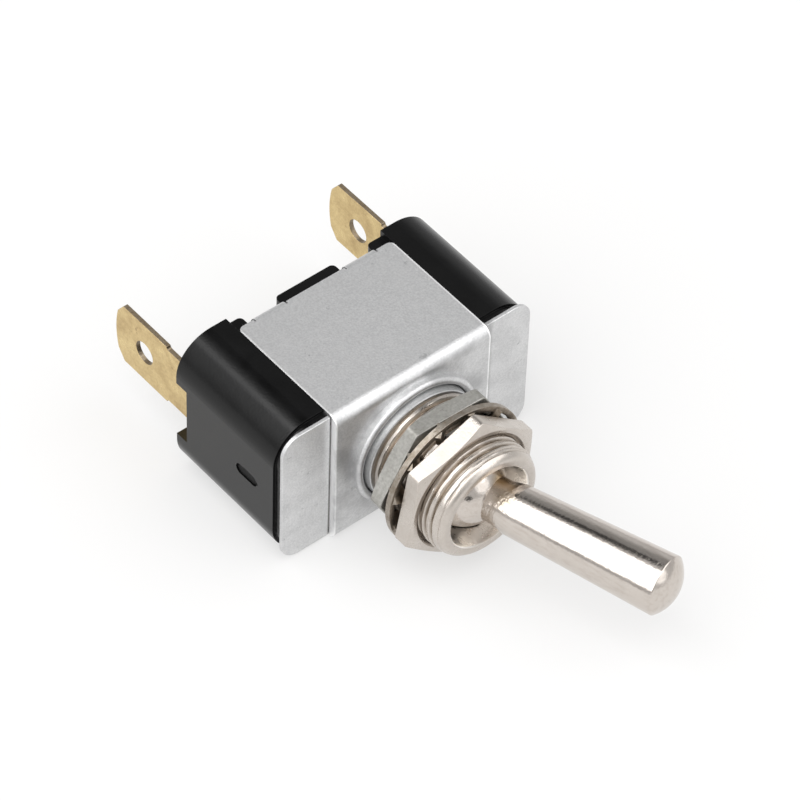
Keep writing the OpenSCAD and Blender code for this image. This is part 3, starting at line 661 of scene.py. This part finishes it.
thread_y = np.arange(thread_start, nose_start, -PITCH / ROWS_A_PITCH)
thread_rows = np.stack([thread_y, np.full(len(thread_y), thread_r)], axis=-1)
nose_turn = np.linspace(0, np.pi / 2, 30)
nose = np.stack([nose_start - nose_len * np.sin(nose_turn),
                 nose_r + nose_drop * np.cos(nose_turn)], axis=-1)
lip = arc(tip + lip_r, mouth_r + lip_r, lip_r, start=180, end=250, steps=6)
flare_y = np.linspace(lip[-1, 0], seat_edge_y, 36)[1:-1]
flare_r = np.interp(flare_y, [lip[-1, 0], seat_edge_y], [lip[-1, 1], seat_edge_r])
flare = np.stack([flare_y, flare_r], axis=-1)
seat_angles = np.linspace(math.asin(seat_edge_r / seat_r), math.pi / 2, 14)
seat_curve = np.stack([pivot.y - seat_r * np.cos(seat_angles),
                       seat_r * np.sin(seat_angles)], axis=-1)
flange = np.array([
    [bush_high.y, flange_r - edge_break], [bush_high.y - edge_break, flange_r],
    [flange_front + edge_break, flange_r], [flange_front, flange_r - edge_break],
    [flange_front, collar_r + 0.18 * MM], [flange_front - 0.5 * MM, collar_r + 0.10 * MM],
    [collar_front + 0.30 * MM, collar_r], [collar_front + 0.08 * MM, collar_r],
    [collar_front, collar_r - 0.08 * MM], [collar_front, root_r],
    [thread_start + 0.04 * MM, root_r],
])
outside = np.concatenate([flange, thread_rows, nose, lip, flare, seat_curve])
y, radius = outside[:, :1], outside[:, 1:] * np.ones_like(TURNS)
cut = slice(len(flange), len(flange) + len(thread_rows) + len(nose))
radius[cut] = np.minimum(radius[cut], thread_r - thread_drop(y[cut], TURNS))

slot_half = 0.75 * MM
slot_top = 4.9 * MM
bore_y = np.array([pivot.y, pivot.y + 0.01 * MM, bush_high.y])[:, None]
to_wall = np.minimum(slot_half / np.maximum(np.abs(np.cos(TURNS)), 1e-9),
                     slot_top / np.maximum(np.abs(np.sin(TURNS)), 1e-9))
bore = np.maximum(bore_r, to_wall) * np.ones_like(bore_y)
bushing = grid_piece(
    "threaded_bushing",
    np.concatenate([around_bushing(y, radius, TURNS), around_bushing(bore_y, bore, TURNS)]),
    nickel,
)
seat(bushing, "bushing")

# %% [markdown]
# The bushing keeps traces of its work. The thread's grooves are darkened brown with their depth,
# the seat's lip holds a dark line of painted shade that widens into a painted shadow under the ball,
# the mouth's inner wall is painted bright as painted light, and the plain collar that was gripped
# behind the thread is greyer than the plating. Three point attributes carry the first three, and
# the collar's faces get their own finish.

# %% Mark the grooves, the seat's lip and the collar
GAP_SHADE_WIDTH = 0.10 * MM  # the width over which the painted shade fades out
POOL_TURNS = [215, 239, 252, 262, 272, 284]  # degrees round the mouth, under the ball
POOL_FRONTS = [-7.3, -7.66, -8.0, -8.30, -8.51, -8.3]  # mm along the axis, at those turns
POOL_END = 290  # degrees
def points_of(piece):
    """The piece's points as rows of x, y, z."""
    return read_all(piece.data.vertices, "co", 3)


def mark(piece, name, values):
    """Stores one number for each point of the piece."""
    layer = piece.data.attributes.new(name, "FLOAT", "POINT")
    layer.data.foreach_set("value", np.asarray(values, dtype=np.float32))


def read_mark(material, name):
    """The stored number, as a mask in the material."""
    return add_node(material.node_tree, "ShaderNodeAttribute", attribute_name=name).outputs["Fac"]


points = points_of(bushing)
away = np.hypot(points[:, 0], points[:, 2])
nose_part = np.clip((nose_start - points[:, 1]) / nose_len, 0, 1)
nose_radius = nose_r + nose_drop * np.sqrt(1 - nose_part ** 2)
uncut = np.where(nose_part > 0, nose_radius, thread_r)
on_thread = (points[:, 1] < collar_front + 0.01 * MM) & (away > 5.3 * MM)
depth_share = np.clip((uncut - 0.04 * MM - away) / THREAD_DEPTH, 0, 1)
mark(bushing, "groove", np.where(on_thread, depth_share, 0))

# painted shade: a dark line where the ball meets the seat's lip, widening into painted shadow under the ball
before_seat = points[:, 1] < seat_edge_y + 0.02 * MM
turned = np.degrees(np.arctan2(points[:, 2], points[:, 0])) % 360
pool_y = np.interp(turned, POOL_TURNS, POOL_FRONTS) * MM
pooled = (turned > POOL_TURNS[0]) & (turned < POOL_END) & before_seat
pool = np.where(pooled, np.clip((points[:, 1] - pool_y) / GAP_SHADE_WIDTH, 0, 1), 0)
at_lip = np.clip(1.5 - np.abs(points[:, 1] - seat_edge_y) / GAP_SHADE_WIDTH, 0, 1)
gap_shade = np.maximum(pool, np.where(away < bore_r, at_lip, 0))
mark(bushing, "gap_shade", np.where(away < mouth_r, gap_shade, 0))
mark(bushing, "mouth", (away < mouth_r + 0.12 * MM) & before_seat)

thread_nickel = nickel.copy()
thread_nickel.name = "threaded_nickel"
# the thread's grooves darken brown with their depth
stain(thread_nickel, read_mark(thread_nickel, "groove"), (0.20, 0.155, 0.11))
# painted light: the mouth's inner wall is painted bright
stain(thread_nickel, read_mark(thread_nickel, "mouth"), (0.88, 0.85, 0.81))
# painted shade and painted shadow at the ball's seat
stain(thread_nickel, read_mark(thread_nickel, "gap_shade"), (0.03, 0.022, 0.015))
bushing.data.materials.clear()
bushing.data.materials.append(thread_nickel)
bushing.data.materials.append(dull_zinc)
centres = read_all(bushing.data.polygons, "center", 3)
off_axis = np.hypot(centres[:, 0], centres[:, 2])
on_collar = (centres[:, 1] > collar_front - 0.01 * MM) & (off_axis > 5.5 * MM)
bushing.data.polygons.foreach_set("material_index", on_collar.astype(int))
print("collar faces", int(on_collar.sum()))

# %% [markdown]
# ## Spring
# The spring sits between the floor of the lever's tail and the plunger. It gets a merged,
# smooth copy of its solid with a mesh of its own.

# %% Dress the spring
spring = dress("plunger_spring", 0, dull_nickel)
coils = points_of(spring)
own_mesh(spring)

# %% [markdown]
# ## Nuts
# A hexagon nut is a hexagonal bar cut off and chamfered on a lathe. Seen along its axis
# the bar's edge is r = half flat / cos(angle from the nearest flat), and the chamfer
# meets it lower at the corners than on the flats, which draws the curved line on each
# flat. A row of the grid runs along that line, so it stays crisp. An end without a
# chamfer has the small rounding that stamping leaves. The bore is plain: it clears the
# bushing's thread, and no thread shows inside a nut that is screwed on.

# %% Work out a nut
NUT_TURNS = np.linspace(0, 2 * np.pi, 360, endpoint=False)[None, :]
HALF_FLAT = 6.9 * MM
FACE_R = HALF_FLAT - 0.1 * MM
CHAMFER_SLOPE = math.tan(math.radians(20))
STAMPED = 0.12 * MM
ENTRY_R, ENTRY_DEPTH = thread_r + 0.42 * MM, 0.32 * MM
NUT_BORE_R = thread_r + 0.02 * MM
BORE_ROWS_A_PITCH = 12


def hexagon(half_flat, turn, softness=70):
    """r = half flat / max cos(angle - flat); the soft maximum rounds the corners."""
    flats = np.arange(6)[:, None] * np.pi / 3 + turn
    facing = np.clip(np.cos(NUT_TURNS - flats), 0, None)
    return half_flat / (facing ** softness).sum(axis=0, keepdims=True) ** (1 / softness)


def nut_end(y, inward, edge, chamfered):
    """The two rows from an end's face to the nut's side; inward is 1 or -1 along Y."""
    if chamfered:
        return [(y, FACE_R), (y + inward * ((edge - FACE_R) * CHAMFER_SLOPE), edge)]
    return [(y, edge - STAMPED), (y + inward * (STAMPED * 0.5), edge)]


def nut_piece(name, low, high, turn, chamfer_front, chamfer_rear, material):
    """A nut between low.y, its front, and high.y, its rear, with a plain bore."""
    edge = hexagon(HALF_FLAT, turn)
    front = nut_end(low.y, 1, edge, chamfer_front)
    rear = nut_end(high.y, -1, edge, chamfer_rear)
    count = int((high.y - low.y) / (PITCH / BORE_ROWS_A_PITCH))
    bore_y = np.linspace(high.y - ENTRY_DEPTH, low.y + ENTRY_DEPTH, count)[:, None]
    rows = [(low.y, ENTRY_R), *front, *reversed(rear), (high.y, ENTRY_R), (bore_y, NUT_BORE_R)]
    points = np.concatenate([around_bushing(y, radius, NUT_TURNS) for y, radius in rows])
    piece = grid_piece(name, points, material)
    bevel = piece.modifiers.new("rounded_edges", "BEVEL")
    bevel.width = 0.07 * MM
    bevel.segments = 2
    bevel.limit_method = "ANGLE"
    bevel.angle_limit = math.radians(15)
    bevel.harden_normals = True
    return piece


def flat_turn(degrees):
    """The angle of a flat's middle in the grid, from the turn of the hexagon's corner."""
    corner_to_flat = 30
    return math.radians(degrees + corner_to_flat)


FRONT_TURN, BACK_TURN = 20.5, -1.6  # degrees that a nut's corner is turned by
front_nut = nut_piece("hex_front_nut", front_low, front_high, flat_turn(FRONT_TURN),
                      chamfer_front=True, chamfer_rear=False, material=nickel)
seat(front_nut, "front_nut")
back_nut = nut_piece("hex_back_nut", back_low, back_high, flat_turn(BACK_TURN),
                     chamfer_front=False, chamfer_rear=True, material=dull_nickel)
seat(back_nut, "back_nut")

# %% [markdown]
# ## Lever
# The lever is turned in one piece: a ball, a short neck, a shaft that widens a little
# towards the end, a crisp rim and a dome. The tail behind the ball is bored for the
# plunger.

# %% Work out the lever
BALL_R, NECK_R, SHAFT_R, TIP_R = 4.0 * MM, 2.2 * MM, 2.5 * MM, 2.95 * MM
LEVER_LEN, DOME_H, TAIL_LEN, TAIL_R = 22.7 * MM, 1.3 * MM, 6.2 * MM, 2.3 * MM
TAIL_BORE, TAIL_FLOOR = 1.5 * MM, 1.2 * MM


def lever_points(section, turns):
    """Turns (along, radius) rows about the lever's axis, through the pivot."""
    side = lever_axis.cross(Vector((0, 0, 1))).normalized()
    up = side.cross(lever_axis)
    along, radius = section[:, :1], section[:, 1:]
    a, s, u, p = (np.array(v) for v in (lever_axis, side, up, pivot))
    outward = (radius * np.cos(turns))[..., None] * s + (radius * np.sin(turns))[..., None] * u
    return p + along[..., None] * a + outward


ball_front = math.acos(NECK_R / BALL_R)
ball_back = math.acos(TAIL_R / BALL_R)
ball_angles = np.linspace(-ball_back, ball_front, 40)
ball = np.stack([BALL_R * np.sin(ball_angles), BALL_R * np.cos(ball_angles)], axis=-1)
neck_end, shaft_start = BALL_R + 0.3 * MM, BALL_R + 1.6 * MM
dome_ball = (TIP_R ** 2 + DOME_H ** 2) / (2 * DOME_H)
dome_middle = LEVER_LEN - dome_ball
rim_r = 0.16 * MM
rim_at = dome_middle + math.sqrt((dome_ball - rim_r) ** 2 - (TIP_R - rim_r) ** 2)
rim_turn = math.asin((TIP_R - rim_r) / (dome_ball - rim_r))
rim_angles = np.linspace(math.pi / 2, rim_turn, 8)
rim = np.stack([rim_at + rim_r * np.cos(rim_angles),
                TIP_R - rim_r + rim_r * np.sin(rim_angles)], axis=-1)
dome_angles = np.linspace(rim_turn, 0.0, 24)[1:]
dome = np.stack([dome_middle + dome_ball * np.cos(dome_angles),
                 dome_ball * np.sin(dome_angles)], axis=-1)
section = np.concatenate([
    [[-TAIL_FLOOR, 0], [-TAIL_FLOOR, TAIL_BORE], [-TAIL_LEN, TAIL_BORE],
     [-TAIL_LEN, TAIL_R - edge_break], [-TAIL_LEN + edge_break, TAIL_R]],
    ball,
    [[neck_end, NECK_R], [shaft_start, SHAFT_R]],
    rim,
    dome,
])
lever = grid_piece("round_lever", lever_points(section, TURNS), lever_nickel, closed_rows=False)
seat(lever, "toggle_lever")

# %% [markdown]
# ## Floor
# The switch lies on a pale sheet that is lit a little from below, so its shadow stays
# faint.

# %% Lay the floor
FLOOR_SIZE = 3.0
floor_gap = 0.01 * MM
bpy.ops.mesh.primitive_plane_add(size=FLOOR_SIZE, location=(0, 0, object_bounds()[0].z - floor_gap))
floor = bpy.context.object
floor.name = "floor"
paper = bpy.data.materials.new("floor_paper")
paper.use_nodes = True
for key, value in {
    "Base Color": (0.28, 0.279, 0.278, 1),
    "Roughness": 0.9,
    "Specular IOR Level": 0.1,
    "Emission Color": (1.0, 0.998, 0.995, 1),
    "Emission Strength": 0.56,
}.items():
    paper.node_tree.nodes["Principled BSDF"].inputs[key].default_value = value
floor.data.materials.append(paper)
print("floor at", round(floor.location.z / MM, 2), "mm")

# %% [markdown]
# ## Lights
# Two large soft lights stand over the switch: one to its left, and a smaller one to its
# right and a little in front. They give the plating something smooth to reflect, and the
# darker gap beside the larger one draws the dark streak on the lever.

# %% Place the lights
LIGHT_DISTANCE = 0.8


def soft_light(name, direction, width, height, power):
    """A rectangular light at a direction from the switch, facing it."""
    data = bpy.data.lights.new(name, "AREA")
    data.shape = "RECTANGLE"
    data.size, data.size_y = width, height
    data.energy = power
    lamp = bpy.data.objects.new(name, data)
    bpy.context.scene.collection.objects.link(lamp)
    toward = Vector(direction).normalized()
    lamp.location = toward * LIGHT_DISTANCE
    lamp.rotation_mode = "QUATERNION"
    lamp.rotation_quaternion = toward.to_track_quat("Z", "Y")
    print(name, "at", [round(v, 2) for v in lamp.location], "m")


soft_light("left_softbox", (-0.64, -0.02, 0.77), width=1.00, height=1.20, power=8.4)
soft_light("front_softbox", (0.44, -0.30, 0.84), width=0.9, height=0.8, power=3.2)

# %% [markdown]
# ## Surround
# The rest of the studio is a pale tent. It is darker in a wide part high behind the
# switch and in a small one on each of two sides, low down, and brighter in front and in
# one small strong spot high behind. A brightness that changes with direction is a sum of
# soft round patches: each is a smooth step of the angle between the direction looked at
# and the patch's middle.

# %% Paint the surround
def tent(level, patches):
    """World of a level, plus patches of (direction, inner degrees, outer degrees, change)."""
    world = bpy.data.worlds.new("studio_tent")
    world.use_nodes = True
    tree = world.node_tree
    look = add_node(tree, "ShaderNodeTexCoord").outputs["Generated"]
    total = level
    for direction, inner, outer, change in patches:
        dot = add_node(tree, "ShaderNodeVectorMath", operation="DOT_PRODUCT")
        tree.links.new(look, dot.inputs[0])
        dot.inputs[1].default_value = Vector(direction).normalized()
        step = add_node(tree, "ShaderNodeMapRange", interpolation_type="SMOOTHSTEP")
        step.inputs["From Min"].default_value = math.cos(math.radians(outer))
        step.inputs["From Max"].default_value = math.cos(math.radians(inner))
        tree.links.new(dot.outputs["Value"], step.inputs["Value"])
        total = maths(tree, "ADD", maths(tree, "MULTIPLY", step.outputs["Result"], change), total)
    background = tree.nodes["Background"]
    background.inputs["Color"].default_value = (1.0, 1.0, 1.0, 1.0)
    tree.links.new(total, background.inputs["Strength"])
    bpy.context.scene.world = world
    print(world.name, "with", len(patches), "patches")


tent(0.68, [
    ((0.42, 0.52, 0.74), 4, 30, -0.36),  # wide and dark, high behind
    ((0.22, 0.47, 0.855), 4, 13, -0.31),  # a darker part of it
    ((-0.99, 0.06, 0.09), 3, 12, -0.16),  # a little dark, low at the left
    ((-0.44, -0.88, 0.10), 5, 9, -0.68),  # dark, low in front
    ((0.29, -0.86, 0.40), 13, 24, 0.90),  # bright, in front
    ((-0.28, 0.55, 0.79), 3, 10, 3.00),  # small and strong, high behind
])

# %% [markdown]
# ## Camera
# A long lens looks down on the switch from in front and from its left. The camera's
# three axes and its place, all in the frame, give its matrix. The Standard view keeps
# the pale floor white.

# %% Place the camera
camera_data = bpy.data.cameras.new("camera")
camera_data.sensor_width = 36
camera_data.lens = 219.15
camera = bpy.data.objects.new("camera", camera_data)
bpy.context.scene.collection.objects.link(camera)
right = Vector((0.77207, -0.63503, 0.02522))
up = Vector((0.45800, 0.58347, 0.67067))
back = Vector((-0.44061, -0.50625, 0.74133))
stand = Vector((-0.19491, -0.22116, 0.33117))
camera.matrix_world = Matrix((
    (right.x, up.x, back.x, stand.x),
    (right.y, up.y, back.y, stand.y),
    (right.z, up.z, back.z, stand.z),
    (0, 0, 0, 1),
))
camera_data.clip_start, camera_data.clip_end = 0.01, 10
bpy.context.scene.camera = camera
bpy.context.scene.view_settings.view_transform = "Standard"
print("camera stands", round(stand.length, 3), "m from the frame's origin")
